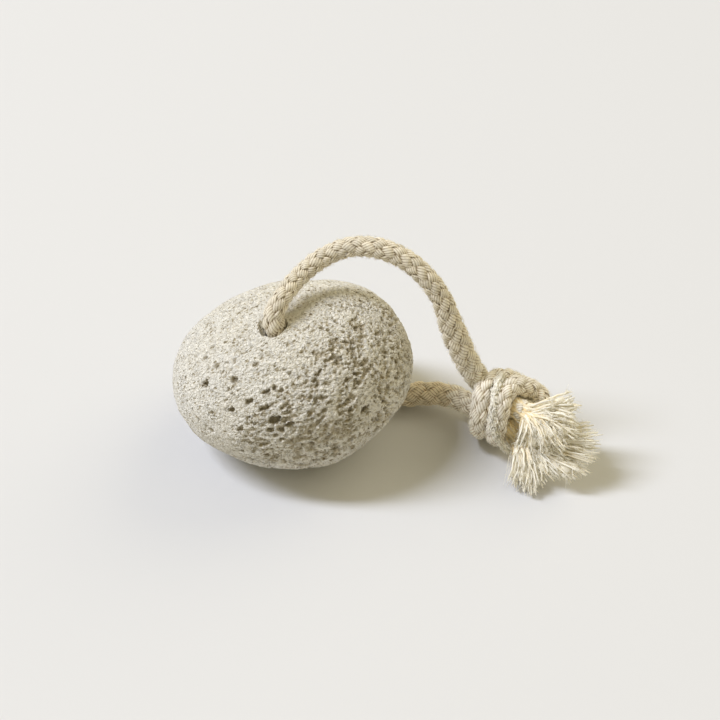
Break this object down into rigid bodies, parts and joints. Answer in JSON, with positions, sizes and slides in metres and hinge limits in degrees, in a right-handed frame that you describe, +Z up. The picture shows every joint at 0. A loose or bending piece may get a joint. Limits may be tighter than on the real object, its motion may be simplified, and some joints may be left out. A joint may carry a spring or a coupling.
{
  "type": "pumice stone",
  "caption": "Tumbled, pitted pumice stone for the bath, drilled through for a braided cotton rope whose ends are tied in a knot and frayed.",
  "frame": {"origin": "on the ground, under the middle of the stone's bounding box", "axes": "+X along the stone's longest side, towards the knot; +Z up; +Y away from the side with the frayed ends"},
  "size_m": [0.1379, 0.0664, 0.0713],
  "materials": {
    "pumice": "matte, open-pored",
    "cotton_rope": "braided, unbleached",
    "loose_yarn": "fluffy, unbleached"
  },
  "bodies": {
    "root": {"pumice_stone": "pumice", "rope_arch": "cotton_rope", "rope_return": "cotton_rope", "rope_knot": "cotton_rope", "frayed_end_upper": "loose_yarn", "frayed_end_lower": "loose_yarn"}
  },
  "joints": []
}
